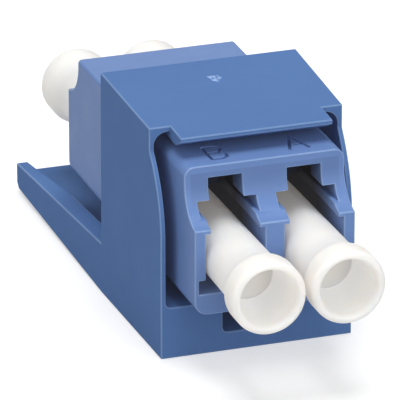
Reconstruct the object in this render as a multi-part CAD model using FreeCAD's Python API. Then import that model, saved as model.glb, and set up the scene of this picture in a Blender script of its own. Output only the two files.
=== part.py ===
import FreeCAD, Part
import math
import os

from FreeCAD import Vector

# A snap-in faceplate module that carries a duplex LC fibre adapter, in millimetres.
# +Z is up, +X is to the right seen from the front, and +Y runs from the front to the rear.
# The origin is on the underside, midway between the ports, below the plane where the fibres meet.

# ---- LC interface, as in IEC 61754-20 -----------------------------------------------------
PITCH = 6.25               # distance between the two fibre axes
AXIS_Z = 9.11              # height of both fibre axes above the underside
FERRULE_D = 1.25           # the ferrule that a plug brings

# ---- one LC port --------------------------------------------------------------------------
PORT_WIDTH = 4.70          # plug body
PORT_FLOOR_DROP = 0.01     # port floor below a square round the axis
RAIL_T = 0.82              # rails that part the plug body from the latch
RAIL_PROUD = 0.42
LEDGE_DROP = 0.47          # sweep's foot on the port face below the top of the rails
LATCH_WIDTH = 4.62         # latch ears
WINDOW_WIDTH = 2.66        # window for the latch lever
WINDOW_BOTTOM = 1.00       # above the rails
CATCH_T = 2.20             # thickness of the latch catch behind the window
LATCH_END = 9.30           # depth of the latch space from the port face
NOTCH_DEPTH = 0.53         # relief at the lower corners of the port
NOTCH_HEIGHT = 1.07
NOTCH_LEN = 4.00

# ---- duplex adapter block, two welded halves ----------------------------------------------
BLOCK_HALF_LEN = 15.235    # mating plane to either port face
SWEEP_R = 2.95             # concave sweep between latch window and port face
LOWER_R = 1.08             # lower long edges
PORT_FLOOR_T = 1.71        # wall under the ports
FRONT_SIDE_WALL = 0.885    # wall beside the ports
FRONT_RAIL_LIFT = 0.07     # rails above a square round the axis
FRONT_LATCH_SPACE = 2.68   # height of the latch space above the rails
FRONT_TOP_WALL = 1.02      # wall above the latch space
FRONT_LATCH_STEP = 2.45    # how far the latch window stands back from the port face
FRONT_UPPER_R = 0.80       # upper long edges
REAR_SIDE_WALL = 1.025
REAR_RAIL_LIFT = 0.34
REAR_LATCH_SPACE = 2.20
REAR_TOP_WALL = 0.73
REAR_LATCH_STEP = 2.60
REAR_UPPER_R = 0.30
WALL_BETWEEN = 2.00        # centre wall that carries the barrels, both halves together
FLANGE_T = 2.00            # flange round the mating plane, both halves together
FLANGE_PROUD = 0.50        # flange above, below and beside the block

PORT_FLOOR_Z = AXIS_Z - PORT_WIDTH / 2 - PORT_FLOOR_DROP
BLOCK_BOTTOM = PORT_FLOOR_Z - PORT_FLOOR_T
FRONT_WIDTH = PITCH + PORT_WIDTH + 2 * FRONT_SIDE_WALL
FRONT_RAIL_TOP = AXIS_Z + PORT_WIDTH / 2 + FRONT_RAIL_LIFT + RAIL_T
FRONT_TOP = FRONT_RAIL_TOP + FRONT_LATCH_SPACE + FRONT_TOP_WALL
REAR_WIDTH = PITCH + PORT_WIDTH + 2 * REAR_SIDE_WALL
REAR_RAIL_TOP = AXIS_Z + PORT_WIDTH / 2 + REAR_RAIL_LIFT + RAIL_T
REAR_TOP = REAR_RAIL_TOP + REAR_LATCH_SPACE + REAR_TOP_WALL
FLANGE_WIDTH = REAR_WIDTH + 2 * FLANGE_PROUD
FLANGE_BOTTOM = BLOCK_BOTTOM - FLANGE_PROUD
FLANGE_TOP = FRONT_TOP + FLANGE_PROUD

# ---- sleeve barrels and split sleeves -----------------------------------------------------
BARREL_D = 2.85
BARREL_END_T = 0.80        # end wall that keeps the sleeve in
SLEEVE_LEN = 6.80
SLEEVE_T = 0.19
SLEEVE_SLIT = 0.30
SLEEVE_GRIP = 0.01         # relaxed bore below the ferrule's diameter
SLEEVE_END_CLEAR = 0.10
SLEEVE_SIDE_CLEAR = 0.04
FERRULE_CLEAR = 0.15       # end wall's hole above the ferrule's diameter

# ---- dust caps ----------------------------------------------------------------------------
CAP_LEN = 21.60
CAP_PORT_CLEAR = 0.04      # radial, in the port where the stem is thickest
CAP_BORE_CLEAR = 0.05      # radial, over the barrel
CAP_TAPER = 0.32           # on the stem's diameter, towards the inner end
CAP_RIM_GAP = 0.43         # between the rims of neighbouring caps
CAP_BAND = 1.90            # straight band behind the rim
CAP_FLARE = 1.90           # length of the flare between stem and band
CAP_FLARE_HOLLOW = 0.36    # share of the flare's rise reached near its middle
CAP_RIM_R = 0.45           # outer rounding of the rim
CAP_LIP_CHAMFER = 0.25     # inner edge of the rim
CAP_MOUTH_D = 4.14
CAP_FLOOR_D = 3.96
CAP_MOUTH_DEPTH = 4.90
CAP_WEB = 1.00             # between the mouth and the bore
CAP_END_CHAMFER = 0.30
CAP_GAP_FRONT = 0.30       # inner end to the centre wall
CAP_GAP_REAR = 1.55

CAP_STEM_D = PORT_WIDTH - 2 * CAP_PORT_CLEAR
CAP_RIM_D = PITCH - CAP_RIM_GAP

# ---- module shell -------------------------------------------------------------------------
SIDE_WALL = 0.85           # side walls behind the lead-in
TOP_PLATE = 0.85           # top plate at the rear
FLANGE_SIDE_CLEAR = 0.05   # beside the flange
FLANGE_TOP_CLEAR = 0.95    # above the flange, up to the sleeve's rear end
FLANGE_FLOOR_CLEAR = 0.39
HOLD_CLEAR = 0.05          # round the block in the collar
BLOCK_PROUD = 4.07         # port face in front of the lower front face
BEHIND_FLANGE = 1.495      # sleeve behind the flange
SHELL_FLARE = 0.041        # growth in width for each millimetre towards the rear
TOP_FALL = 0.50            # top plate from the rear to the brow
BROW_STEP = 2.55           # how far the brow stands back from the lower front face
BROW_DROP = 1.85           # straight part of the cheek below the brow
CHEEK_RISE = 6.50          # height of the cheek's convex sweep
EDGE_WALL = 0.40           # side walls at the front edge
BROW_T = 0.47              # top plate at the brow
LEAD_IN = 3.60             # length of the thin front edge
LEAD_TAPER = 1.20
OPENING_UPPER_R = 1.00
OPENING_LOWER_R = 0.45
COLLAR_T = 2.20
COLLAR_BITE = 0.40         # how deep the collar runs into the walls
NUB_PROUD = 0.30
NUB_LEN = 0.90
NUB_HEIGHT = 4.00

LIP_WIDTH = 12.10
LIP_REACH = 2.45           # in front of the brow
LIP_ROOT_T = 1.05
LIP_TIP_T = 0.36
LIP_TAPER = 1.35           # behind the tip, where the thick root begins
LIP_ROOT_LEN = 1.50        # how far the thick root runs back under the top plate
LIP_CORNER_R = 0.12

SLOT_WIDTH = 5.44          # release slot in the lower front face
SLOT_BOTTOM_Z = 1.55
SLOT_HEIGHT = 1.75
SLOT_DEPTH = 9.00
SLOT_R = 0.40

ARM_LEN = 22.04            # behind the sleeve
ARM_PROUD = 0.05           # beside the sleeve, on each side
ARM_RISE = 0.40            # underside, from the sleeve to the arm's end
ARM_RIM_FALL = 1.68        # rim, from the sleeve to the arm's end
ARM_RIM_T = 1.64           # rims beside the tray
TRAY_DEPTH = 0.70          # below the rims at the arm's end
TRAY_ROOT_DEPTH = 1.50     # below the rims at the sleeve
LEAD_OUT = 0.78            # sloped inner edge of the rims at the arm's end
LEAD_OUT_LEN = 11.00       # over which that slope runs out
ARM_TIP_CHAMFER = 0.45

SHELL_FRONT = BLOCK_PROUD - BLOCK_HALF_LEN
SLEEVE_REAR = FLANGE_T / 2 + BEHIND_FLANGE
BROW = SHELL_FRONT + BROW_STEP
WIDTH_AT_FLANGE = FLANGE_WIDTH + 2 * (FLANGE_SIDE_CLEAR + SIDE_WALL)
OPENING_FLOOR_Z = FLANGE_BOTTOM - FLANGE_FLOOR_CLEAR
TOP_REAR_Z = FLANGE_TOP + FLANGE_TOP_CLEAR + TOP_PLATE
TOP_FRONT_Z = TOP_REAR_Z - TOP_FALL
CHEEK_TOP_Z = TOP_FRONT_Z - BROW_DROP
CHEEK_LOW_Z = CHEEK_TOP_Z - CHEEK_RISE
ARM_END = SLEEVE_REAR + ARM_LEN
ARM_RIM_END_Z = OPENING_FLOOR_Z - ARM_RIM_FALL


def prism_x(points, half_width):
    """Extrude a closed Y-Z outline to both sides of the middle plane."""
    wire = Part.makePolygon([Vector(-half_width, y, z) for y, z in points + points[:1]])
    return Part.Face(wire).extrude(Vector(2 * half_width, 0, 0))


def prism_z(points, z_low, z_high):
    """Extrude a closed X-Y outline upwards."""
    wire = Part.makePolygon([Vector(x, y, z_low) for x, y in points + points[:1]])
    return Part.Face(wire).extrude(Vector(0, 0, z_high - z_low))


def block_box(x_mid, width, y_from, y_to, z_from, z_to):
    """A box given by its middle, its width and its spans."""
    return Part.makeBox(width, y_to - y_from, z_to - z_from, Vector(x_mid - width / 2, y_from, z_from))


def rounded_wire(width, z_low, z_high, r_low, r_high, y):
    """Rounded rectangle across the module at the given Y."""
    half = width / 2
    corners = [
        (half - r_low, z_low + r_low, r_low, -90),
        (half - r_high, z_high - r_high, r_high, 0),
        (-half + r_high, z_high - r_high, r_high, 90),
        (-half + r_low, z_low + r_low, r_low, 180),
    ]
    arcs = []
    for x, z, r, start in corners:
        turn = [math.radians(start + step) for step in (0, 45, 90)]
        places = [Vector(x + r * math.cos(a), y, z + r * math.sin(a)) for a in turn]
        arcs.append(Part.Arc(*places).toShape())
    edges = []
    for arc, following in zip(arcs, arcs[1:] + arcs[:1]):
        edges.append(arc)
        edges.append(Part.makeLine(arc.Vertexes[-1].Point, following.Vertexes[0].Point))
    return Part.Wire(Part.__sortEdges__(edges))


def rounded_bar(width, z_low, z_high, r_low, r_high, y_from, y_to):
    """Straight bar with the rounded section."""
    wire = rounded_wire(width, z_low, z_high, r_low, r_high, y_from)
    return Part.Face(wire).extrude(Vector(0, y_to - y_from, 0))


def tapered_bar(section_from, section_to):
    """Ruled solid between two rounded sections, each given as rounded_wire's arguments."""
    return Part.makeLoft([rounded_wire(*section_from), rounded_wire(*section_to)], True, True)


def rod_y(x, diameter, y_from, y_to):
    """Round bar on a fibre axis."""
    return Part.makeCylinder(diameter / 2, y_to - y_from, Vector(x, y_from, AXIS_Z), Vector(0, 1, 0))


def edges_where(shape, test):
    """Edges whose two ends both pass the test."""
    return [edge for edge in shape.Edges if len(edge.Vertexes) == 2
            and all(test(vertex.Point) for vertex in edge.Vertexes)]


def near(value, target):
    return abs(value - target) < 1e-4


def port_axes():
    return (-PITCH / 2, PITCH / 2)


def barrel_reach():
    """Mating plane to the barrel's tip."""
    return SLEEVE_LEN / 2 + SLEEVE_END_CLEAR + BARREL_END_T


# ---- adapter block ------------------------------------------------------------------------

def sweep_cut(width, top, ledge, step):
    """What is taken off above the port face to leave the latch window standing back."""
    face = -BLOCK_HALF_LEN
    window = face + step
    turn = math.acos((SWEEP_R - step) / SWEEP_R)
    centre = (window - SWEEP_R, ledge + SWEEP_R * math.sin(turn))
    spare = 1.0
    outer = face - spare
    points = [Vector(0, centre[0] + SWEEP_R * math.cos(a), centre[1] - SWEEP_R * math.sin(a))
              for a in (0, turn / 2, turn)]
    edges = [
        Part.makeLine(Vector(0, window, top + spare), points[0]),
        Part.Arc(*points).toShape(),
        Part.makeLine(points[2], Vector(0, outer, ledge)),
        Part.makeLine(Vector(0, outer, ledge), Vector(0, outer, top + spare)),
        Part.makeLine(Vector(0, outer, top + spare), Vector(0, window, top + spare)),
    ]
    cut = Part.Face(Part.Wire(edges)).extrude(Vector(width + 2 * spare, 0, 0))
    cut.translate(Vector(-width / 2 - spare, 0, 0))
    return cut


def port_cut(x, rail_top, ceiling, step):
    """Everything that is open in one port, as one solid."""
    face = -BLOCK_HALF_LEN
    mouth = face - 1.0
    deep = -WALL_BETWEEN / 2
    rails_z = rail_top - RAIL_T
    window_z = rail_top + WINDOW_BOTTOM
    catch_back = face + step + CATCH_T
    latch_end = face + LATCH_END
    pieces = [
        block_box(x, PORT_WIDTH, mouth, deep, PORT_FLOOR_Z, rails_z),
        block_box(x, PORT_WIDTH - 2 * RAIL_PROUD, mouth, latch_end, rails_z, rail_top),
        block_box(x, LATCH_WIDTH, mouth, latch_end, rail_top, window_z),
        block_box(x, WINDOW_WIDTH, mouth, catch_back, window_z, ceiling),
        block_box(x, LATCH_WIDTH, catch_back, latch_end, window_z, ceiling),
        block_box(x, PORT_WIDTH + 2 * NOTCH_DEPTH, mouth, face + NOTCH_LEN,
                  PORT_FLOOR_Z, PORT_FLOOR_Z + NOTCH_HEIGHT),
    ]
    return pieces[0].fuse(pieces[1:]).removeSplitter()


def barrel(x):
    """Tube that holds half of the split sleeve, with its end wall."""
    tip = -barrel_reach()
    return rod_y(x, BARREL_D, tip, -WALL_BETWEEN / 2)


def barrel_bore(x):
    """Chamber for the sleeve and the hole that the ferrule enters by."""
    chamber_d = FERRULE_D - SLEEVE_GRIP + 2 * SLEEVE_T + 2 * SLEEVE_SIDE_CLEAR
    chamber_end = -(SLEEVE_LEN / 2 + SLEEVE_END_CLEAR)
    hole_d = FERRULE_D + FERRULE_CLEAR
    tip = -barrel_reach()
    lead = Part.makeCone(hole_d / 2 + BARREL_END_T / 2, hole_d / 2, BARREL_END_T / 2,
                         Vector(x, tip, AXIS_Z), Vector(0, 1, 0))
    chamber = rod_y(x, chamber_d, chamber_end, 0)
    return chamber.fuse([rod_y(x, hole_d, tip, chamber_end), lead])


def adapter_half(width, top, upper_r, rail_top, top_wall, step):
    """One half of the adapter, built as the front half: ports open towards -Y."""
    body = rounded_bar(width, BLOCK_BOTTOM, top, LOWER_R, upper_r, -BLOCK_HALF_LEN, 0)
    flange = rounded_bar(FLANGE_WIDTH, FLANGE_BOTTOM, FLANGE_TOP, LOWER_R, upper_r, -FLANGE_T / 2, 0)
    body = body.cut(sweep_cut(width, top, rail_top - LEDGE_DROP, step))
    body = body.cut([port_cut(x, rail_top, top - top_wall, step) for x in port_axes()])
    body = body.fuse([flange] + [barrel(x) for x in port_axes()])
    body = body.cut([barrel_bore(x) for x in port_axes()])
    return body.removeSplitter()


def adapter_front_half():
    return adapter_half(FRONT_WIDTH, FRONT_TOP, FRONT_UPPER_R, FRONT_RAIL_TOP, FRONT_TOP_WALL,
                        FRONT_LATCH_STEP)


def adapter_rear_half():
    half = adapter_half(REAR_WIDTH, REAR_TOP, REAR_UPPER_R, REAR_RAIL_TOP, REAR_TOP_WALL,
                        REAR_LATCH_STEP)
    return half.mirror(Vector(0, 0, 0), Vector(0, 1, 0))


def alignment_sleeve(x):
    """Split sleeve that lines up the two ferrules; its slit faces up."""
    inner_d = FERRULE_D - SLEEVE_GRIP
    outer_d = inner_d + 2 * SLEEVE_T
    tube = rod_y(x, outer_d, -SLEEVE_LEN / 2, SLEEVE_LEN / 2)
    tube = tube.cut(rod_y(x, inner_d, -SLEEVE_LEN / 2, SLEEVE_LEN / 2))
    slit = block_box(x, SLEEVE_SLIT, -SLEEVE_LEN / 2, SLEEVE_LEN / 2, AXIS_Z, AXIS_Z + outer_d)
    return tube.cut(slit)


# ---- dust caps ----------------------------------------------------------------------------

def cap_profile():
    """Closed outline of half a cap: radius along X, and Y from the inner end to the rim."""
    bore_r = BARREL_D / 2 + CAP_BORE_CLEAR
    end_r = (CAP_STEM_D - CAP_TAPER) / 2
    stem_r = CAP_STEM_D / 2
    rim_r = CAP_RIM_D / 2
    mouth_r = CAP_MOUTH_D / 2
    lip_r = mouth_r + CAP_LIP_CHAMFER
    floor_r = CAP_FLOOR_D / 2
    band_start = CAP_LEN - CAP_BAND
    flare_start = band_start - CAP_FLARE
    floor = CAP_LEN - CAP_MOUTH_DEPTH
    bend = 1 - math.sqrt(0.5)

    def at(r, y):
        return Vector(r, y, 0)

    rim_mid = at(rim_r - CAP_RIM_R * bend, CAP_LEN - CAP_RIM_R * bend)
    flare_mid = at(stem_r + CAP_FLARE_HOLLOW * (rim_r - stem_r), flare_start + 0.62 * CAP_FLARE)
    outline = [
        Part.makeLine(at(bore_r, 0), at(end_r - CAP_END_CHAMFER, 0)),
        Part.makeLine(at(end_r - CAP_END_CHAMFER, 0), at(end_r, CAP_END_CHAMFER)),
        Part.makeLine(at(end_r, CAP_END_CHAMFER), at(stem_r, flare_start)),
        Part.Arc(at(stem_r, flare_start), flare_mid, at(rim_r, band_start)).toShape(),
        Part.makeLine(at(rim_r, band_start), at(rim_r, CAP_LEN - CAP_RIM_R)),
        Part.Arc(at(rim_r, CAP_LEN - CAP_RIM_R), rim_mid, at(rim_r - CAP_RIM_R, CAP_LEN)).toShape(),
        Part.makeLine(at(rim_r - CAP_RIM_R, CAP_LEN), at(lip_r, CAP_LEN)),
        Part.makeLine(at(lip_r, CAP_LEN), at(mouth_r, CAP_LEN - CAP_LIP_CHAMFER)),
        Part.makeLine(at(mouth_r, CAP_LEN - CAP_LIP_CHAMFER), at(floor_r, floor)),
        Part.makeLine(at(floor_r, floor), at(0, floor)),
        Part.makeLine(at(0, floor), at(0, floor - CAP_WEB)),
        Part.makeLine(at(0, floor - CAP_WEB), at(bore_r, floor - CAP_WEB)),
        Part.makeLine(at(bore_r, floor - CAP_WEB), at(bore_r, 0)),
    ]
    return Part.Face(Part.Wire(outline))


def dust_cap(x, side, gap):
    """Dust cap pushed over a barrel; side is -1 for the front ports and 1 for the rear ones."""
    cap = cap_profile().revolve(Vector(0, 0, 0), Vector(0, 1, 0), 360)
    if side < 0:
        cap = cap.mirror(Vector(0, 0, 0), Vector(0, 1, 0))
    cap.translate(Vector(x, side * (WALL_BETWEEN / 2 + gap), AXIS_Z))
    return cap


# ---- module shell -------------------------------------------------------------------------

def outer_width(y):
    """Outside width of the flared sleeve at a given Y."""
    return WIDTH_AT_FLANGE + SHELL_FLARE * y


def top_z(y):
    """Height of the sloping top at a given Y."""
    return TOP_FRONT_Z + TOP_FALL * (y - BROW) / (SLEEVE_REAR - BROW)


def sleeve_side_face():
    """Side outline of the sleeve, with the cheek that sweeps from the brow to the front face."""
    radius = (BROW_STEP ** 2 + CHEEK_RISE ** 2) / (2 * BROW_STEP)
    half_turn = math.atan2(CHEEK_RISE, radius - BROW_STEP) / 2
    cheek_mid = Vector(0, SHELL_FRONT + radius * (1 - math.cos(half_turn)),
                       CHEEK_LOW_Z + radius * math.sin(half_turn))
    low = Vector(0, SHELL_FRONT, CHEEK_LOW_Z)
    high = Vector(0, BROW, CHEEK_TOP_Z)
    corners = [high, Vector(0, BROW, TOP_FRONT_Z), Vector(0, SLEEVE_REAR, TOP_REAR_Z),
               Vector(0, SLEEVE_REAR, 0), Vector(0, SHELL_FRONT, 0), low]
    edges = [Part.makeLine(start, end) for start, end in zip(corners, corners[1:])]
    edges.append(Part.Arc(low, cheek_mid, high).toShape())
    return Part.Face(Part.Wire(edges))


def flared_plan(z_low, z_high):
    """The sleeve's outline seen from above, as a solid between two heights."""
    front, rear = outer_width(SHELL_FRONT) / 2, outer_width(SLEEVE_REAR) / 2
    return prism_z([(-front, SHELL_FRONT), (front, SHELL_FRONT), (rear, SLEEVE_REAR),
                    (-rear, SLEEVE_REAR)], z_low, z_high)


def sleeve_outside():
    """Sleeve and lower front block as one solid, flared towards the rear."""
    half = outer_width(SLEEVE_REAR)
    side = sleeve_side_face().extrude(Vector(2 * half, 0, 0))
    side.translate(Vector(-half, 0, 0))
    return side.common(flared_plan(-1.0, TOP_REAR_Z + 1.0))


def sleeve_opening():
    """The through opening of the sleeve: thin lead-in edge, then the full wall."""
    lead_end = SHELL_FRONT + LEAD_IN
    taper_end = lead_end + LEAD_TAPER
    spare = 1.0

    def section(y, wall, plate):
        return (outer_width(y) - 2 * wall, OPENING_FLOOR_Z, top_z(y) - plate,
                OPENING_LOWER_R, OPENING_UPPER_R, y)

    mouth = SHELL_FRONT - spare
    back = SLEEVE_REAR + spare
    parts = [
        tapered_bar(section(mouth, EDGE_WALL, BROW_T), section(lead_end, EDGE_WALL, BROW_T)),
        tapered_bar(section(lead_end, EDGE_WALL, BROW_T), section(taper_end, SIDE_WALL, TOP_PLATE)),
        tapered_bar(section(taper_end, SIDE_WALL, TOP_PLATE), section(back, SIDE_WALL, TOP_PLATE)),
    ]
    return parts[0].fuse(parts[1:]).removeSplitter()


def collar():
    """Frame inside the sleeve that the front half passes through and the flange seats on."""
    y_to = -FLANGE_T / 2
    y_from = y_to - COLLAR_T
    width = outer_width(y_from) - 2 * (SIDE_WALL - COLLAR_BITE)
    ring = block_box(0, width, y_from, y_to, OPENING_FLOOR_Z - COLLAR_BITE,
                     top_z(y_from) - TOP_PLATE + COLLAR_BITE)
    hole = rounded_bar(FRONT_WIDTH + 2 * HOLD_CLEAR, BLOCK_BOTTOM - HOLD_CLEAR, FRONT_TOP + HOLD_CLEAR,
                       LOWER_R + HOLD_CLEAR, FRONT_UPPER_R + HOLD_CLEAR, y_from - 1, y_to + 1)
    return ring.cut(hole)


def snap_nub(side):
    """Ramped nub on a side wall that keeps the flange against the collar."""
    seat = FLANGE_T / 2
    tip_x = FLANGE_WIDTH / 2 + FLANGE_SIDE_CLEAR - NUB_PROUD
    root_x = FLANGE_WIDTH / 2 + FLANGE_SIDE_CLEAR + SIDE_WALL / 2
    outline = [(side * root_x, seat), (side * tip_x, seat), (side * tip_x, seat + NUB_LEN / 3),
               (side * root_x, seat + NUB_LEN + SIDE_WALL / 2)]
    return prism_z(outline, AXIS_Z - NUB_HEIGHT / 2, AXIS_Z + NUB_HEIGHT / 2)


def brow_lip():
    """Lip in front of the brow: a thin tip on a thick root that runs back under the top plate."""
    tip = BROW - LIP_REACH
    root = BROW + LIP_ROOT_LEN
    outline = [(root, top_z(root)), (tip, top_z(tip)), (tip, top_z(tip) - LIP_TIP_T),
               (tip + LIP_TAPER, top_z(tip) - LIP_ROOT_T), (root, top_z(root) - LIP_ROOT_T)]
    lip = prism_x(outline, LIP_WIDTH / 2)
    corners = edges_where(lip, lambda p: near(p.y, tip) and near(abs(p.x), LIP_WIDTH / 2))
    return lip.makeFillet(LIP_CORNER_R, [edge for edge in corners if near(edge.Length, LIP_TIP_T)])


def release_slot():
    """Blind slot in the lower front face, rounded at its lower corners."""
    slot = block_box(0, SLOT_WIDTH, SHELL_FRONT - 1, SHELL_FRONT + SLOT_DEPTH,
                     SLOT_BOTTOM_Z, SLOT_BOTTOM_Z + SLOT_HEIGHT)
    lower = edges_where(slot, lambda p: near(p.z, SLOT_BOTTOM_Z) and near(abs(p.x), SLOT_WIDTH / 2))
    return slot.makeFillet(SLOT_R, [edge for edge in lower if edge.Length > SLOT_DEPTH])


def rim_z(y):
    """Height of the arm's rims at a given Y."""
    return OPENING_FLOOR_Z - ARM_RIM_FALL * (y - SLEEVE_REAR) / ARM_LEN


def rims_cut():
    """The tray between the rims, with their inner edges sloped towards the arm's end."""
    half = outer_width(SLEEVE_REAR) / 2 + ARM_PROUD - ARM_RIM_T
    spare = 1.0
    end = ARM_END + spare

    def floor_z(y):
        share = (y - SLEEVE_REAR) / ARM_LEN
        return rim_z(y) - TRAY_ROOT_DEPTH - (TRAY_DEPTH - TRAY_ROOT_DEPTH) * share

    tray = prism_x([(SLEEVE_REAR, floor_z(SLEEVE_REAR)), (end, floor_z(end)),
                    (end, rim_z(end) + spare), (SLEEVE_REAR, OPENING_FLOOR_Z + spare)], half)
    slopes = []
    for side in (-1, 1):
        start = Vector(side * half, ARM_END - LEAD_OUT_LEN, rim_z(ARM_END - LEAD_OUT_LEN))
        over = rim_z(ARM_END) + spare
        corners = [Vector(side * half, ARM_END, rim_z(ARM_END) - TRAY_DEPTH),
                   Vector(side * (half + LEAD_OUT), ARM_END, rim_z(ARM_END)),
                   Vector(side * (half + LEAD_OUT), ARM_END, over), Vector(side * half, ARM_END, over)]
        base = Part.Face(Part.makePolygon(corners + corners[:1]))
        sides = [Part.Face(Part.makePolygon([start, near_end, far_end, start]))
                 for near_end, far_end in zip(corners, corners[1:] + corners[:1])]
        slopes.append(Part.Solid(Part.Shell([base] + sides)))
    return tray.fuse(slopes)


def latch_arm():
    """Arm that runs back from the sleeve's base and springs when the module snaps in."""
    start = SLEEVE_REAR - 1
    half = outer_width(SLEEVE_REAR) / 2 + ARM_PROUD
    side = [(start, 0), (SLEEVE_REAR, 0), (ARM_END - ARM_TIP_CHAMFER, ARM_RISE),
            (ARM_END, ARM_RISE + ARM_TIP_CHAMFER), (ARM_END, ARM_RIM_END_Z),
            (SLEEVE_REAR, OPENING_FLOOR_Z), (start, OPENING_FLOOR_Z)]
    inner = outer_width(start) / 2
    plan = prism_z([(-inner, start), (inner, start), (half - ARM_PROUD, SLEEVE_REAR), (half, ARM_END),
                    (-half, ARM_END), (ARM_PROUD - half, SLEEVE_REAR)], -1, OPENING_FLOOR_Z + 1)
    return prism_x(side, half).common(plan).cut(rims_cut())


def module_shell():
    shell = sleeve_outside().cut(sleeve_opening())
    shell = shell.fuse([brow_lip(), collar(), snap_nub(-1), snap_nub(1), latch_arm()])
    return shell.cut(release_slot()).removeSplitter()


def build():
    nodes = {
        "module_shell": module_shell(),
        "adapter_front_half": adapter_front_half(),
        "adapter_rear_half": adapter_rear_half(),
    }
    for name, x in zip(("left", "right"), port_axes()):
        nodes["alignment_sleeve_" + name] = alignment_sleeve(x)
        nodes["dust_cap_front_" + name] = dust_cap(x, -1, CAP_GAP_FRONT)
        nodes["dust_cap_rear_" + name] = dust_cap(x, 1, CAP_GAP_REAR)
    return nodes


os.makedirs("parts", exist_ok=True)
for node, shape in build().items():
    box = shape.BoundBox
    print(f"{node}: {len(shape.Solids)} solid, valid {shape.isValid()}, {shape.Volume:.2f} mm3, "
          f"{box.XLength:.2f} x {box.YLength:.2f} x {box.ZLength:.2f}")
    shape.exportStep(f"parts/{node}.step")
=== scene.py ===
# %% [markdown]
# # A snap-in LC fibre adapter
#
# A small moulded module carries a duplex fibre adapter and four soft dust caps. The solid model gives
# every piece its place and its true size. This notebook gives them their look: the softened edges of
# injection moulding, two slightly different blue plastics, waxy white caps, and quiet studio light.
# All lengths are in metres, so the small values are written in millimetres and multiplied by MM.

# %% Load the frame
import math

import bmesh
import bpy
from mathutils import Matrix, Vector, noise


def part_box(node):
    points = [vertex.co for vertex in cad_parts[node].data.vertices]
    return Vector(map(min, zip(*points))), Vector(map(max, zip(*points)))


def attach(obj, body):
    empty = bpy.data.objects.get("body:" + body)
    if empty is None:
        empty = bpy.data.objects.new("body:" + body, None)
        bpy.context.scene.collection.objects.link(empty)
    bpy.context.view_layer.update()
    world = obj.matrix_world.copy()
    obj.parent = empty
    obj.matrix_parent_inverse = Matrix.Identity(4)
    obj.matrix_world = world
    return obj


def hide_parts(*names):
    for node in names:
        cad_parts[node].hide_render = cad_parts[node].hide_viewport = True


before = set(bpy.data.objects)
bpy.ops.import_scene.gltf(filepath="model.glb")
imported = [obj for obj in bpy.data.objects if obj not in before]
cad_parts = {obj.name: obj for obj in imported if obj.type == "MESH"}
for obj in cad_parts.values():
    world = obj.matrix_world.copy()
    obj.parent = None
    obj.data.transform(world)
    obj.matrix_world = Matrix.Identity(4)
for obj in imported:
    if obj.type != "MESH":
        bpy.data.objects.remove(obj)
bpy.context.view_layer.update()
MM = 0.001
scene = bpy.context.scene

# %% [markdown]
# ## Camera
#
# A long lens far away keeps parallel edges nearly parallel, as product pictures do. It could be placed
# by its coordinates, but a target, a distance and two angles are easier to read and to change. The
# target is a point inside the module, a little above its underside.

# %% Place the camera
CAMERA_TARGET = Vector((0.0, 2.12, 6.88)) * MM
CAMERA_DISTANCE = 444.8 * MM
CAMERA_AZIMUTH = math.radians(-18.95)
CAMERA_ELEVATION = math.radians(22.36)
CAMERA_LENS = 515.6
SENSOR_WIDTH = 36.0


def direction(azimuth, elevation):
    """Unit vector from the object towards a viewer; azimuth 0 is in front, at -Y."""
    return Vector((math.sin(azimuth) * math.cos(elevation),
                   -math.cos(azimuth) * math.cos(elevation),
                   math.sin(elevation)))


def aim(obj, place, target):
    """Put a camera or a lamp at a place and point it at the target."""
    obj.location = place
    obj.rotation_euler = (target - place).to_track_quat("-Z", "Y").to_euler()
    scene.collection.objects.link(obj)
    return obj


camera_data = bpy.data.cameras.new("camera")
camera_data.lens = CAMERA_LENS
camera_data.sensor_width = SENSOR_WIDTH
camera_data.clip_start = 0.01
camera_data.clip_end = 20.0
camera_place = CAMERA_TARGET + CAMERA_DISTANCE * direction(CAMERA_AZIMUTH, CAMERA_ELEVATION)
scene.camera = aim(bpy.data.objects.new("camera", camera_data), camera_place, CAMERA_TARGET)
print("camera at", [round(value, 4) for value in scene.camera.location])

# %% [markdown]
# ## Shader maths
#
# Materials here are small sums and products of noises. Wiring each Math node by hand hides the idea, so
# a Signal wraps a socket and lets Python's operators add the nodes. Its reflected forms let a plain
# number stand first, as in 1 - mask.


# %% A class for shader maths
class Signal:
    """The value that leaves a socket."""

    def __init__(self, wiring, socket):
        self.wiring = wiring
        self.socket = socket

    def math(self, operation, first, second):
        return self.wiring.add("ShaderNodeMath", {"operation": operation}, {0: first, 1: second})

    def __add__(self, other):
        return self.math("ADD", self, other)

    __radd__ = __add__

    def __mul__(self, other):
        return self.math("MULTIPLY", self, other)

    __rmul__ = __mul__

    def __sub__(self, other):
        return self.math("SUBTRACT", self, other)

    def __rsub__(self, other):
        return self.math("SUBTRACT", other, self)

    def __abs__(self):
        return self.math("ABSOLUTE", self, 0.0)


def rgba(red, green, blue):
    return (red, green, blue, 1.0)


def shade_of(colour, gain):
    """The same colour, lighter or darker."""
    return rgba(*(gain * part for part in colour))


print("shader maths: +, -, * and abs")

# %% [markdown]
# ## Nodes
#
# Every other node comes from one method. It takes the node's type, its settings, and the values or links
# of its sockets. Materials, the floor and the world all use it, and Paint adds the few recipes that the
# plastics share. The noises read Object coordinates, so a pattern stays on its piece when the piece moves.


# %% Classes that add nodes
class Wiring:
    """A node tree that starts empty and is filled node by node."""

    def __init__(self, tree):
        self.tree = tree
        tree.nodes.clear()

    def node(self, kind, settings, inputs):
        node = self.tree.nodes.new(kind)
        for key, value in settings.items():
            setattr(node, key, value)
        for key, value in inputs.items():
            if isinstance(value, Signal):
                self.tree.links.new(value.socket, node.inputs[key])
            else:
                node.inputs[key].default_value = value
        return node

    def add(self, kind, settings, inputs, output=0):
        """Add a node and hand back one of its outputs."""
        return Signal(self, self.node(kind, settings, inputs).outputs[output])


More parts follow.
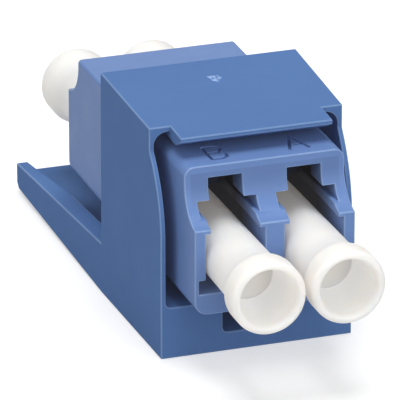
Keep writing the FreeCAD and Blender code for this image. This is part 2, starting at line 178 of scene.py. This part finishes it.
class Paint(Wiring):
    """The wiring of one material."""

    def __init__(self, name):
        self.material = bpy.data.materials.new(name)
        self.material.use_nodes = True
        super().__init__(self.material.node_tree)
        self.place = self.add("ShaderNodeTexCoord", {}, {}, "Object")

    def axes(self):
        """The place on the piece, as three signals."""
        return [self.add("ShaderNodeSeparateXYZ", {}, {"Vector": self.place}, axis) for axis in range(3)]

    def noise(self, size, detail, roughness):
        """Noise whose lumps are about as large as size, centred on 0.5."""
        return self.add("ShaderNodeTexNoise", {}, {"Vector": self.place, "Scale": 1.0 / size,
                                                   "Detail": detail, "Roughness": roughness})

    def ramp(self, signal, low, high):
        """0 below low, 1 above high, and a straight rise between them."""
        return self.add("ShaderNodeMapRange", {}, {"Value": signal, "From Min": low, "From Max": high})

    def mix(self, factor, first, second):
        """Blend of two colours."""
        return self.add("ShaderNodeMix", {"data_type": "RGBA"}, {0: factor, 6: first, 7: second}, 2)

    def bump(self, height, depth, beneath=None):
        """Normal tilted by a height of 0 to 1 that stands for depth in metres, over another bump if any."""
        inputs = {"Height": height, "Distance": depth}
        if beneath:
            inputs["Normal"] = beneath
        return self.add("ShaderNodeBump", {}, inputs)

    def surface(self, shader):
        """Send a shader to the output."""
        self.node("ShaderNodeOutputMaterial", {}, {"Surface": shader})
        return self.material

    def plastic(self, inputs):
        """A Principled shader as the surface."""
        return self.surface(self.add("ShaderNodeBsdfPrincipled", {}, inputs))


print("recipes:", [name for name in vars(Paint) if not name.startswith("_")])

# %% [markdown]
# ## Shade deep in the ports
#
# A port is a narrow blue tunnel, and a few millimetres in it is nearly black. Very many soft bounces would
# show that, but they take long and leave noise. So the adapter's blue falls away with depth. The place on
# the piece tells where: behind the port face, and inside the walls, the floor and the top of the block.

# %% A mask for the ports
DEEP_BLUE = rgba(0.018, 0.030, 0.072)
DARK_FROM = 9.5 * MM
DARK_TO = 13.4 * MM
INSIDE_HALF = 5.90 * MM
INSIDE_LOW = 5.95 * MM
INSIDE_HIGH = 15.50 * MM
STEP_HALF = 0.05 * MM


def above_level(paint, signal, level):
    """0 below the level and 1 above it, with a very short step between."""
    return paint.ramp(signal, level - STEP_HALF, level + STEP_HALF)


def port_depth(paint):
    """1 deep inside the ports, 0 at their faces and on every outer face of the adapter."""
    across, along, up = paint.axes()
    deep = 1 - paint.ramp(abs(along), DARK_FROM, DARK_TO)
    between_walls = 1 - above_level(paint, abs(across), INSIDE_HALF)
    under_top = 1 - above_level(paint, up, INSIDE_HIGH)
    return deep * between_walls * above_level(paint, up, INSIDE_LOW) * under_top


print("ports turn dark over", round((DARK_TO - DARK_FROM) / MM, 1), "mm")

# %% [markdown]
# ## Moulded blue plastic
#
# Both blues are pigmented resin from a spark-eroded mould, so they are matt with a very fine grain. A
# flat colour looks like a drawing. Real mouldings vary a little: the pigment clouds where the resin
# flowed, broad faces sink by a few hundredths of a millimetre, and handling leaves faint smooth spots.
# Noises of different sizes give that, and one function serves both parts with its own numbers. A trace
# of glow stands for the stray light that fills narrow gaps. The rounded edges are smoother and have a
# material of their own, whose paler blue is a painted highlight: the glint that narrow rounds catch.

# %% The blue plastics
STRAY_LIGHT = rgba(0.009, 0.008, 0.007)
CLOUD_SIZE = 7.0 * MM
TOUCH_SIZE = 3.5 * MM
FLOW_SIZE = 1.3 * MM
GRAIN_SIZE = 0.09 * MM
SINK_DEPTH = 0.05 * MM
SHELL_BLUE = (0.090, 0.184, 0.412)
ADAPTER_BLUE = (0.137, 0.240, 0.514)


def moulded_plastic(name, low, high, roughness, shine, grain_depth, deep_ports=False):
    """Matt blue that drifts between two colours."""
    paint = Paint(name)
    clouds = paint.noise(CLOUD_SIZE, 3.0, 0.55)
    flow = paint.noise(FLOW_SIZE, 4.0, 0.6)
    grain = paint.noise(GRAIN_SIZE, 2.0, 0.6)
    handled = paint.ramp(paint.noise(TOUCH_SIZE, 4.0, 0.6), 0.52, 0.70)
    tint = paint.mix(paint.ramp(clouds * 0.7 + flow * 0.3, 0.35, 0.65), low, high)
    if deep_ports:
        tint = paint.mix(port_depth(paint), tint, DEEP_BLUE)
    return paint.plastic({
        "Base Color": tint,
        "Roughness": roughness + 0.10 * (grain - 0.5) - 0.07 * handled,
        "IOR": 1.50,
        "Specular IOR Level": shine,
        "Emission Color": STRAY_LIGHT,
        "Emission Strength": 1.0,
        "Normal": paint.bump(grain, grain_depth, paint.bump(clouds, SINK_DEPTH)),
    })


shell_plastic = moulded_plastic("shell_plastic", shade_of(SHELL_BLUE, 0.98), shade_of(SHELL_BLUE, 1.04),
                                0.50, 0.01, 0.004 * MM)
# The paler edge blues are a painted highlight on the rounded edges.
shell_edge_highlight = moulded_plastic("shell_edge_highlight", rgba(0.139, 0.248, 0.476), rgba(0.161, 0.280, 0.514),
                             0.36, 0.25, 0.003 * MM)
adapter_plastic = moulded_plastic("adapter_plastic", shade_of(ADAPTER_BLUE, 0.98),
                                  shade_of(ADAPTER_BLUE, 1.04), 0.40, 0.20, 0.003 * MM, True)
adapter_edge_highlight = moulded_plastic("adapter_edge_highlight", rgba(0.193, 0.312, 0.583), rgba(0.214, 0.337, 0.610),
                               0.34, 0.45, 0.002 * MM, True)
blues = (shell_plastic, shell_edge_highlight, adapter_plastic, adapter_edge_highlight)
print("blue plastics:", [blue.name for blue in blues])

# %% [markdown]
# ## Torn plastic
#
# Where plastic is torn it turns pale, unevenly. One pale colour would look like a sticker, so the scar
# mixes the shell's blue with a stress-whitened one by a fine noise, and still finer fibres roughen it.

# %% The torn plastic
WHITENED_BLUE = rgba(0.30, 0.45, 0.74)


def torn(name):
    paint = Paint(name)
    blotches = paint.ramp(paint.noise(0.35 * MM, 3.0, 0.6), 0.42, 0.58)
    fibres = paint.noise(0.06 * MM, 3.0, 0.7)
    return paint.plastic({
        "Base Color": paint.mix(blotches, shade_of(SHELL_BLUE, 1.15), WHITENED_BLUE),
        "Roughness": 0.45 + 0.20 * fibres,
        "IOR": 1.50,
        "Normal": paint.bump(fibres, 0.01 * MM),
    })


torn_plastic = torn("torn_plastic")
print("torn plastic has", len(torn_plastic.node_tree.nodes), "nodes")

# %% [markdown]
# ## Waxy white caps
#
# The caps are soft polyethylene: light enters and comes out again a little further on, which rounds off
# their shadows. A plain white would look like chalk, so subsurface scattering over about two millimetres
# carries the light. What comes through the thin wall of the mouth would need very many bounces, and a
# faint glow stands for it. A weaker glow on the whole cap is painted light that lifts its shaded sides.
# The closed floor of the mouth has thick plastic behind it: it gets no glow, and its greyer white is
# painted shade at the bottom of the hole.

# %% The white plastics
CAP_WHITE = (0.895, 0.845, 0.790)
MOUTH_WHITE = (0.880, 0.850, 0.815)
# A greyer white for the floor of the mouth: painted shade at the bottom of the hole.
SHADED_MOUTH_WHITE = (0.730, 0.725, 0.715)
GLOW_COLOUR = rgba(1.0, 0.98, 0.96)


def soft_white(name, colour, glow):
    """White that light soaks into, with faint scuffs."""
    paint = Paint(name)
    clouds = paint.noise(2.5 * MM, 3.0, 0.5)
    grain = paint.noise(0.12 * MM, 2.0, 0.6)
    scuffs = paint.ramp(paint.noise(0.9 * MM, 5.0, 0.65), 0.56, 0.72)
    return paint.plastic({
        "Base Color": paint.mix(clouds, shade_of(colour, 0.99), shade_of(colour, 1.01)),
        "Roughness": 0.42 + 0.08 * scuffs + 0.06 * (grain - 0.5),
        "IOR": 1.51,
        "Specular IOR Level": 0.30,
        "Subsurface Weight": 1.0,
        "Subsurface Radius": (1.0, 0.85, 0.7),
        "Subsurface Scale": 2.2 * MM,
        "Emission Color": GLOW_COLOUR,
        "Emission Strength": glow,
        "Normal": paint.bump(grain, 0.003 * MM, paint.bump(clouds, 0.03 * MM)),
    })


# The cap's weaker glow is painted light that lifts its shaded sides; the floor's white is painted shade.
cap_plastic = soft_white("cap_plastic", CAP_WHITE, 0.065)
cap_mouth = soft_white("cap_mouth", MOUTH_WHITE, 0.12)
cap_floor_shade = soft_white("cap_floor_shade", SHADED_MOUTH_WHITE, 0.0)
print("white plastics:", [white.name for white in (cap_plastic, cap_mouth, cap_floor_shade)])

# %% [markdown]
# ## Ceramic sleeves
#
# Two tiny split sleeves of polished zirconia line up the fibres deep inside the barrels. They are nearly
# white and glossy, with fine specks. Their solid model already has the slit and the true wall, so they
# are shown as they are and only get their material.


# %% The ceramic, on its sleeves
def ceramic(name):
    paint = Paint(name)
    specks = paint.ramp(paint.noise(0.05 * MM, 3.0, 0.6), 0.60, 0.75)
    return paint.plastic({
        "Base Color": paint.mix(specks, rgba(0.84, 0.83, 0.79), rgba(0.78, 0.76, 0.71)),
        "Roughness": 0.12 + 0.10 * specks,
        "IOR": 2.15,
    })


sleeve_ceramic = ceramic("sleeve_ceramic")
for side in ("left", "right"):
    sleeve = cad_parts["alignment_sleeve_" + side]
    sleeve.data.materials.clear()
    sleeve.data.materials.append(sleeve_ceramic)
    print(sleeve.name, "is", sleeve.data.materials[0].name)

# %% [markdown]
# ## Clean copies of the mouldings
#
# A mould can't hold a perfectly sharp edge, and it is the tiny rounding that catches light and tells the
# eye that a thing is real. The solid model's edges are sharp, and its mesh is loose triangles. So each
# moulding gets a copy that is welded, and whose flat faces are joined again. Long clean edges are what
# the rounding needs.

# %% Weld a copy
SAME_POINT = 0.002 * MM
FLAT_ANGLE = math.radians(0.5)


def welded(node):
    """A welded copy of a solid's mesh, with its flat faces whole."""
    work = bmesh.new()
    work.from_mesh(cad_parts[node].data)
    bmesh.ops.remove_doubles(work, verts=work.verts, dist=SAME_POINT)
    bmesh.ops.dissolve_limit(work, angle_limit=FLAT_ANGLE, verts=work.verts, edges=work.edges)
    return work


print("points closer than", round(SAME_POINT / MM, 4), "mm are welded")

# %% [markdown]
# ## Rounded corners
#
# A narrow round runs along every outer corner. A Bevel modifier would shrink the round everywhere to what
# the shortest edge allows, so the operator is used on chosen edges, without that clamp. Where short rounds
# crowd together, an outline can then run back over itself, and the fold's tip is merged. The new faces
# get their own plastic, whose paler blue is a painted highlight on the rounds.

# %% Round the outer corners
ROUND_ANGLE = math.radians(55)
FOLD_ANGLE = math.radians(2)
EDGE_ROUND = 0.10 * MM
BROAD, ROUND = 0, 1


def is_outer_corner(edge):
    """True where two faces meet at a real corner that points outwards."""
    return len(edge.link_faces) == 2 and edge.calc_face_angle_signed(0.0) > ROUND_ANGLE


def merge_folds(work):
    """Merge the tips of corners where an outline runs back over itself."""
    folds = {}
    for face in work.faces:
        for corner in face.loops:
            tip = corner.vert
            before, after = corner.link_loop_prev.vert, corner.link_loop_next.vert
            back, onward = before.co - tip.co, after.co - tip.co
            if len(face.verts) > 3 and back.angle(onward, math.pi) < FOLD_ANGLE:
                target = before if back.length < onward.length else after
                if target not in folds and tip not in folds.values():
                    folds[tip] = target
    bmesh.ops.weld_verts(work, targetmap=folds)
    return len(folds)


def everywhere(place):
    """The test for a piece whose corners are all rounded."""
    return True


def round_corners(work, wanted):
    """Round the outer corners whose middle passes the test."""
    edges = [edge for edge in work.edges
             if is_outer_corner(edge) and wanted((edge.verts[0].co + edge.verts[1].co) / 2)]
    made = bmesh.ops.bevel(work, geom=edges, offset=EDGE_ROUND, offset_type="OFFSET", segments=2,
                           profile=0.5, affect="EDGES", clamp_overlap=False, material=-1)
    for face in made["faces"]:
        face.material_index = ROUND
    print("corners rounded:", len(edges), "- folds merged:", merge_folds(work))


# %% [markdown]
# ## Shading of the rounds
#
# With smooth shading a broad flat face bends near each round, as if it were inflated. Flat shading would
# show facets. So every corner of the mesh gets the normal of the broad faces that it belongs to: those
# stay flat to their very edge, and only the narrow rounds look round.

# %% Shade and show a piece
CORNER_ANGLE = math.radians(32)
ROUND_LIMIT = math.radians(50)


def piece_from(work, name, materials, body, slot, *stands_for):
    """Make an object of a finished mesh, hang it on its body and hide the solid parts that it stands for.
    """
    mesh = bpy.data.meshes.new(name)
    work.to_mesh(mesh)
    work.free()
    for material in materials:
        mesh.materials.append(material)
    piece = bpy.data.objects.new(name, mesh)
    scene.collection.objects.link(piece)
    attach(piece, body)
    if stands_for:
        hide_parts(*stands_for)
    print(name, "has", len(mesh.polygons), "faces")
    return piece


def blended_normal(faces, normal, limit):
    """Sum of the normals within the limit of a given one, larger faces counting for more."""
    total = Vector()
    for face in faces:
        if face.normal.dot(normal) > math.cos(limit):
            total += face.normal * face.area
    return total


def keep_faces_flat(piece):
    """Give every corner the normal of the broad faces it belongs to."""
    mesh = piece.data
    around = [[] for vertex in mesh.vertices]
    for face in mesh.polygons:
        for vertex in face.vertices:
            around[vertex].append(face)
    normals = []
    for face in mesh.polygons:
        limit = ROUND_LIMIT if face.material_index == ROUND else CORNER_ANGLE
        for vertex in face.vertices:
            broad = [other for other in around[vertex] if other.material_index == BROAD]
            normal = blended_normal(broad, face.normal, limit)
            if normal.length == 0:
                normal = blended_normal(around[vertex], face.normal, limit)
            normals.append(normal.normalized())
    mesh.shade_smooth()
    mesh.normals_split_custom_set(normals)


# %% [markdown]
# ## The shell
#
# The shell is one moulding: a sleeve round the adapter, a brow with a lip, a lower front with a release
# slot, and a long latch arm behind. All its form is in the solid, so the copy only needs its rounds.

# %% The shell on show
work = welded("module_shell")
round_corners(work, everywhere)
shell = piece_from(work, "shell_moulding", (shell_plastic, shell_edge_highlight), "module", "shell_plastic",
                   "module_shell")
keep_faces_flat(shell)

# %% [markdown]
# ## The gate's torn stub
#
# Plastic enters the mould through a small gate in the middle of the top. When the runner is torn off, it
# leaves a rough, pale scar. A bump map would have no outline of its own, so the scar is a thin mesh: a row
# of points is spun to a disc, its outline is made ragged by a sum of sines, and noise crumples it. A ray
# cast down on to the shell finds the sloping top that it lies on.

# %% Lay the scar on the top
SCAR_CENTRE = Vector((0.12, -1.10)) * MM
SCAR_HALF = Vector((0.52, 0.66)) * MM
SCAR_HEIGHT = 0.11 * MM
SCAR_SINK = 0.02 * MM
SCAR_TURNS = 36
SCAR_RINGS = 7
LUMP_SCALES = (4.2, 9.0)
BITES = ((0.16, 3, 0.6), (0.10, 5, 2.1), (0.06, 11, 0.0))
ABOVE_ALL = 1.0


def crumple(x, y):
    """Uneven height between 0 and 1."""
    coarse, fine = LUMP_SCALES
    lumps = noise.noise(Vector((x, y, 0.0)) * coarse) + 0.6 * noise.noise(Vector((x, y, 5.0)) * fine)
    return min(1.0, max(0.0, 0.45 + lumps))


def ragged(turn):
    """Outline of the scar: 1 on average, with bites and tongues."""
    return 1 + sum(depth * math.sin(waves * turn + phase) for depth, waves, phase in BITES)


def scar_mesh(surface, up):
    """Crumpled disc on the surface, whose rim dips just under it."""
    work = bmesh.new()
    row = [work.verts.new((ring / SCAR_RINGS, 0, 0)) for ring in range(SCAR_RINGS + 1)]
    edges = [work.edges.new(pair) for pair in zip(row, row[1:])]
    bmesh.ops.spin(work, geom=row + edges, cent=(0, 0, 0), axis=(0, 0, 1), angle=2 * math.pi,
                   steps=SCAR_TURNS, use_merge=True)
    bmesh.ops.remove_doubles(work, verts=work.verts, dist=0.1 / SCAR_TURNS)
    along = up.cross(Vector((1, 0, 0))).normalized()
    across = along.cross(up)
    for vert in work.verts:
        share = min(1.0, vert.co.length)
        outline = ragged(math.atan2(vert.co.y, vert.co.x))
        x, y = vert.co.x * outline, vert.co.y * outline
        lift = SCAR_HEIGHT * crumple(x, y) * (1 - share ** 4) - SCAR_SINK * share ** 4
        vert.co = surface + across * SCAR_HALF.x * x + along * SCAR_HALF.y * y + up * lift
    bmesh.ops.recalc_face_normals(work, faces=work.faces)
    if sum((face.normal for face in work.faces), Vector()).dot(up) < 0:
        bmesh.ops.reverse_faces(work, faces=work.faces)
    return work


bpy.context.view_layer.update()
surface, up = shell.ray_cast(Vector((*SCAR_CENTRE, ABOVE_ALL)), Vector((0, 0, -1)))[1:3]
scar = piece_from(scar_mesh(surface, up), "gate_scar", (torn_plastic,), "module", "shell_plastic")
scar.data.shade_smooth()
print("scar at", [round(value / MM, 2) for value in surface])

# %% [markdown]
# ## Strokes for the port letters
#
# The two ports are told apart by the letters B and A, cut shallowly into the block's top. A dark texture
# would be quicker, but it would have no lit edge on the far side of each groove, and that edge is what
# reads as engraving. So each stroke is a thin solid: one upright section is extruded from point to point
# of a polyline, and at each turn it stands on the mitre line.

# %% Raise a stroke
STROKE = 0.27 * MM
SHARPEST_MITRE = 0.35


def mitre_sides(points):
    """For each point of a polyline, the step from its middle to the stroke's left side."""
    ways = [(after - before).normalized() for before, after in zip(points, points[1:])]
    sides = []
    for before, after in zip(ways[:1] + ways, ways + ways[-1:]):
        along = (before + after).normalized()
        reach = STROKE / 2 / max(SHARPEST_MITRE, along.dot(before))
        sides.append(Vector((-along.y, along.x)) * reach)
    return sides


def stroke_solid(work, points, z_low, z_high):
    """A closed solid along a polyline in plan, as wide as a stroke."""
    sections = [[Vector((*(point + side), z_low)), Vector((*(point - side), z_low)),
                 Vector((*(point - side), z_high)), Vector((*(point + side), z_high))]
                for point, side in zip(points, mitre_sides(points))]
    first = end = work.faces.new([work.verts.new(corner) for corner in sections[0]])
    for section, following in zip(sections, sections[1:]):
        made = bmesh.ops.extrude_face_region(work, geom=[end])["geom"]
        if end is not first:
            work.faces.remove(end)
        end = next(item for item in made if isinstance(item, bmesh.types.BMFace))
        for vert in end.verts:
            corner = min(range(4), key=lambda index: (vert.co - section[index]).length)
            vert.co = following[corner]


# %% [markdown]
# ## The letters
#
# A font would bring its own style and many points, and these marks are only plain strokes. B is a stem
# and two bowls, the upper one a little narrower. A is one bent stroke and a bar.

# %% Draw B and A
LETTER_HEIGHT = 2.55 * MM
LETTER_FOOT_Y = -11.78 * MM
B_LEFT, B_WIDTH = -3.80 * MM, 1.36 * MM
A_LEFT, A_WIDTH = 2.36 * MM, 1.60 * MM
B_WAIST = 0.54
B_UPPER_WIDTH = 0.92
A_BAR = 0.38


def bowl(left, low, width, height, steps=8):
    """The round half of a B: out along the bottom, round, and back along the top."""
    radius = height / 2
    middle = low + radius
    turn = [math.radians(-90 + 180 * step / steps) for step in range(steps + 1)]
    curve = [Vector((left + width - radius + radius * math.cos(a), middle + radius * math.sin(a)))
             for a in turn]
    return [Vector((left, low))] + curve + [Vector((left, low + height))]


def letter_b(left, low, width, height):
    waist = B_WAIST * height
    return [[Vector((left, low)), Vector((left, low + height))],
            bowl(left, low, width, waist),
            bowl(left, low + waist, B_UPPER_WIDTH * width, height - waist)]


def letter_a(left, low, width, height):
    apex = Vector((left + width / 2, low + height))
    bar_y = low + A_BAR * height
    inset = A_BAR * width / 2
    return [[Vector((left, low)), apex, Vector((left + width, low))],
            [Vector((left + inset, bar_y)), Vector((left + width - inset, bar_y))]]


letters = letter_b(B_LEFT, LETTER_FOOT_Y, B_WIDTH, LETTER_HEIGHT)
letters += letter_a(A_LEFT, LETTER_FOOT_Y, A_WIDTH, LETTER_HEIGHT)
print("strokes:", len(letters))

# %% [markdown]
# ## Cutting the letters
#
# The strokes become one tool, and a boolean takes all of them out of the block together. Cutting them one
# by one would leave slivers where they cross. The tool and the uncut block are removed afterwards.

# %% Take a tool out of a mesh
LETTER_DEPTH = 0.22 * MM


def object_from(work, name):
    """A plain object that only helps to make another."""
    mesh = bpy.data.meshes.new(name)
    work.to_mesh(mesh)
    work.free()
    helper = bpy.data.objects.new(name, mesh)
    scene.collection.objects.link(helper)
    return helper


def letter_tool(strokes, z_top):
    """One solid that holds every stroke and straddles the top."""
    work = bmesh.new()
    for points in strokes:
        stroke_solid(work, points, z_top - LETTER_DEPTH, z_top + LETTER_DEPTH)
    bmesh.ops.recalc_face_normals(work, faces=work.faces)
    return object_from(work, "letter_tool")


def carve(work, tool):
    """Take the tool out of the mesh, and remove the tool."""
    holder = object_from(work, "uncarved")
    cut = holder.modifiers.new("letters", "BOOLEAN")
    cut.operation = "DIFFERENCE"
    cut.solver = "EXACT"
    cut.use_self = True
    cut.object = tool
    carved = bpy.data.meshes.new_from_object(holder.evaluated_get(bpy.context.evaluated_depsgraph_get()))
    result = bmesh.new()
    result.from_mesh(carved)
    for spent in (holder, tool):
        bpy.data.objects.remove(spent)
    return result


# %% [markdown]
# ## The adapter's halves
#
# The adapter is two mouldings welded back to back. Both get the same rounds as the shell, except on the
# barrels deep inside, whose small rings need none and would only crowd. The front half gets the letters,
# cut into its top in front of the flange.

# %% The halves on show
BARREL_REACH = 1.7 * MM
BLOCK_FRONT_Y = -5.0 * MM
cap_low, cap_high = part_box("dust_cap_front_right")
PORT_Z = (cap_low.z + cap_high.z) / 2
PORT_X = (cap_low.x + cap_high.x) / 2


def off_the_barrels(place):
    """True outside the barrels."""
    across = min(abs(place.x - PORT_X), abs(place.x + PORT_X))
    return math.hypot(across, place.z - PORT_Z) > BARREL_REACH


block_top = max(vertex.co.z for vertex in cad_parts["adapter_front_half"].data.vertices
                if vertex.co.y < BLOCK_FRONT_Y)
for end in ("front", "rear"):
    node = "adapter_" + end + "_half"
    work = welded(node)
    round_corners(work, off_the_barrels)
    if end == "front":
        work = carve(work, letter_tool(letters, block_top))
    half = piece_from(work, "adapter_" + end, (adapter_plastic, adapter_edge_highlight), "module",
                      "adapter_plastic", node)
    keep_faces_flat(half)

# %% [markdown]
# ## The outline of a dust cap
#
# A cap is a turned shape: a long stem, a concave flare, a straight band with a rounded rim, and a blind
# mouth with a deep soft lip. It could be carved from cylinders, but one half outline keeps the wall even
# and the shading smooth. Each point is a distance from the axis and a distance from the inner end.

# %% Draw half a cap
ARC_STEPS = 8
FLARE_STEPS = 12
CAP_LENGTH = cap_high.y - cap_low.y
RIM_R = (cap_high.x - cap_low.x) / 2
STEM_R_END = 2.15 * MM
STEM_R_BELL = 2.31 * MM
BAND = 1.90 * MM
FLARE = 1.90 * MM
EARLY_SWELL = 0.15
RIM_ROUND = 0.45 * MM
LIP_DEPTH = 0.75 * MM
MOUTH_R = 2.21 * MM
FLOOR_R = 1.98 * MM
MOUTH_DEPTH = 4.90 * MM
FLOOR_ROUND = 0.25 * MM
BORE_R = 1.475 * MM
WEB = 1.00 * MM
END_CHAMFER = 0.30 * MM


def arc(centre, radius, start, stop):
    """Points on an arc, angles in degrees."""
    turn = [math.radians(start + (stop - start) * step / ARC_STEPS) for step in range(ARC_STEPS + 1)]
    return [(centre[0] + radius * math.cos(a), centre[1] + radius * math.sin(a)) for a in turn]


def flare_curve(start, stop):
    """Sweep that leaves the stem straight and meets the band almost straight."""
    points = []
    for step in range(FLARE_STEPS + 1):
        share = step / FLARE_STEPS
        swell = EARLY_SWELL * share ** 2 + (1 - EARLY_SWELL) * share ** 3 * (4 - 3 * share)
        points.append((start[0] + (stop[0] - start[0]) * swell, start[1] + (stop[1] - start[1]) * share))
    return points


def lip_curve(start):
    """Soft lip that leads from the rim's crest down into the mouth."""
    turns = [math.pi / 2 * step / ARC_STEPS for step in range(1, ARC_STEPS + 1)]
    return [(start + (MOUTH_R - start) * math.sin(turn), CAP_LENGTH - LIP_DEPTH * (1 - math.cos(turn)))
            for turn in turns]


def cap_profile():
    """Closed half outline of a cap."""
    band_start = CAP_LENGTH - BAND
    flare_start = band_start - FLARE
    floor = CAP_LENGTH - MOUTH_DEPTH
    outline = [(BORE_R, 0.0), (STEM_R_END - END_CHAMFER, 0.0), (STEM_R_END, END_CHAMFER)]
    outline += flare_curve((STEM_R_BELL, flare_start), (RIM_R, band_start))
    outline += arc((RIM_R - RIM_ROUND, CAP_LENGTH - RIM_ROUND), RIM_ROUND, 0, 90)
    outline += lip_curve(RIM_R - RIM_ROUND)
    outline += arc((FLOOR_R - FLOOR_ROUND, floor + FLOOR_ROUND), FLOOR_ROUND, 0, -90)
    outline += [(0.0, floor), (0.0, floor - WEB), (BORE_R, floor - WEB)]
    return outline


print("outline points:", len(cap_profile()))

# %% [markdown]
# ## Turning the dust caps
#
# The outline is spun about the fibre's axis and moved onto its port. All four caps are the same moulding,
# so a loop makes them, and those behind are turned the other way. The wall and the floor of the mouth get
# their own whites: the wall's glow stands for light through it, and the floor's greyer white is painted
# shade.

# %% Turn the dust caps
TURN_STEPS = 96
MOUTH_WALL, MOUTH_FLOOR = 1, 2


def paint_mouth(work, centre, rim_y):
    """Give the faces inside the mouth, below its lip, their own materials."""
    for face in work.faces:
        middle = face.calc_center_median()
        depth = abs(rim_y - middle.y)
        reach = math.hypot(middle.x - centre.x, middle.z - centre.z)
        if LIP_DEPTH < depth < MOUTH_DEPTH + FLOOR_ROUND and reach < MOUTH_R:
            near_floor = depth > MOUTH_DEPTH - FLOOR_ROUND / 3
            face.material_index = MOUTH_FLOOR if near_floor else MOUTH_WALL


def turned_cap(label, outward):
    """Spin the outline about Y, then move it onto its port. outward is -1 at the front, 1 at the rear."""
    node = "dust_cap_" + label
    low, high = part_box(node)
    inner_end = high.y if outward < 0 else low.y
    centre = Vector(((low.x + high.x) / 2, inner_end, (low.z + high.z) / 2))
    work = bmesh.new()
    ring = [work.verts.new((radius, outward * along, 0.0)) for radius, along in cap_profile()]
    edges = [work.edges.new(pair) for pair in zip(ring, ring[1:] + ring[:1])]
    bmesh.ops.spin(work, geom=ring + edges, cent=(0, 0, 0), axis=(0, 1, 0), angle=2 * math.pi,
                   steps=TURN_STEPS, use_merge=True)
    bmesh.ops.remove_doubles(work, verts=work.verts, dist=SAME_POINT)
    bmesh.ops.translate(work, verts=work.verts, vec=centre)
    bmesh.ops.recalc_face_normals(work, faces=work.faces)
    paint_mouth(work, centre, centre.y + outward * CAP_LENGTH)
    cap = piece_from(work, "cap_turned_" + label, (cap_plastic, cap_mouth, cap_floor_shade), "cap_" + label,
                     "cap_plastic", node)
    cap.data.shade_smooth()
    cap.data.set_sharp_from_angle(angle=CORNER_ANGLE)


for end, outward in (("front", -1), ("rear", 1)):
    for side in ("left", "right"):
        turned_cap(end + "_" + side, outward)

# %% [markdown]
# ## Floor and backdrop
#
# The module lies on a plain white floor. A brighter lamp could burn the floor out to white, but it would
# bleach the caps too. So the floor is a pale grey that takes the shadow, and only the camera sees a glow
# on it. In the same way only the camera sees the world as pale, and it gives hardly any light.

# %% Build the floor and the world
FLOOR_HALF = 2.0
FLOOR_GREY = rgba(0.62, 0.62, 0.62)
FLOOR_GLOW = 0.50
WORLD_GREY = rgba(0.8, 0.8, 0.8)
WORLD_LEVEL = 0.04

work = bmesh.new()
bmesh.ops.create_grid(work, x_segments=1, y_segments=1, size=FLOOR_HALF)
floor = object_from(work, "floor")

floor_paint = Paint("floor_white")
lit = floor_paint.add("ShaderNodeBsdfDiffuse", {}, {"Color": FLOOR_GREY})
glow = floor_paint.add("ShaderNodeEmission", {}, {"Color": rgba(1.0, 1.0, 1.0), "Strength": FLOOR_GLOW})
seen = floor_paint.add("ShaderNodeLightPath", {}, {}, "Is Camera Ray")
both = floor_paint.add("ShaderNodeAddShader", {}, {0: lit, 1: glow})
mixed = floor_paint.add("ShaderNodeMixShader", {}, {0: seen, 1: lit, 2: both})
floor.data.materials.append(floor_paint.surface(mixed))

world = bpy.data.worlds.new("studio")
scene.world = world
world.use_nodes = True
sky = Wiring(world.node_tree)
seen = sky.add("ShaderNodeLightPath", {}, {}, "Is Camera Ray")
pale = sky.add("ShaderNodeBackground", {}, {"Color": WORLD_GREY,
                                            "Strength": WORLD_LEVEL + (1 - WORLD_LEVEL) * seen})
sky.node("ShaderNodeOutputWorld", {}, {"Surface": pale})
print("floor half width", FLOOR_HALF, "m, world level", WORLD_LEVEL)

# %% [markdown]
# ## Lamps
#
# Broad soft lamps stand round the module: one overhead for the form, others in front, at the left and
# behind to fill the shadows. Many small fills could be used, but six square lamps keep the faces even and
# the shadows soft. Their powers are low enough that the white caps keep their shading.

# %% Set the lamps
# name, azimuth and elevation in degrees, distance and size in metres, power in watts
LAMPS = (("top", 0, 88, 0.60, 0.35, 2.45),
         ("front", 0, 18, 0.70, 0.40, 1.62),
         ("front_left", -52, 36, 0.70, 0.40, 0.70),
         ("front_right", 30, 30, 0.70, 0.40, 0.94),
         ("left", -90, 20, 0.70, 0.40, 0.82),
         ("rear", 180, 40, 0.70, 0.80, 1.65))


def soft_lamp(name, azimuth, elevation, distance, size, power):
    """Square lamp that points at the module."""
    data = bpy.data.lights.new(name, "AREA")
    data.size = size
    data.energy = power
    place = CAMERA_TARGET + distance * direction(math.radians(azimuth), math.radians(elevation))
    aim(bpy.data.objects.new(name, data), place, CAMERA_TARGET)


for lamp in LAMPS:
    soft_lamp(*lamp)
scene.view_settings.view_transform = "Standard"
print("lamps:", len(LAMPS), "with", round(sum(lamp[-1] for lamp in LAMPS), 2), "W in all")

# %% [markdown]
# ## Sizes
#
# The looks must not change the object's size.
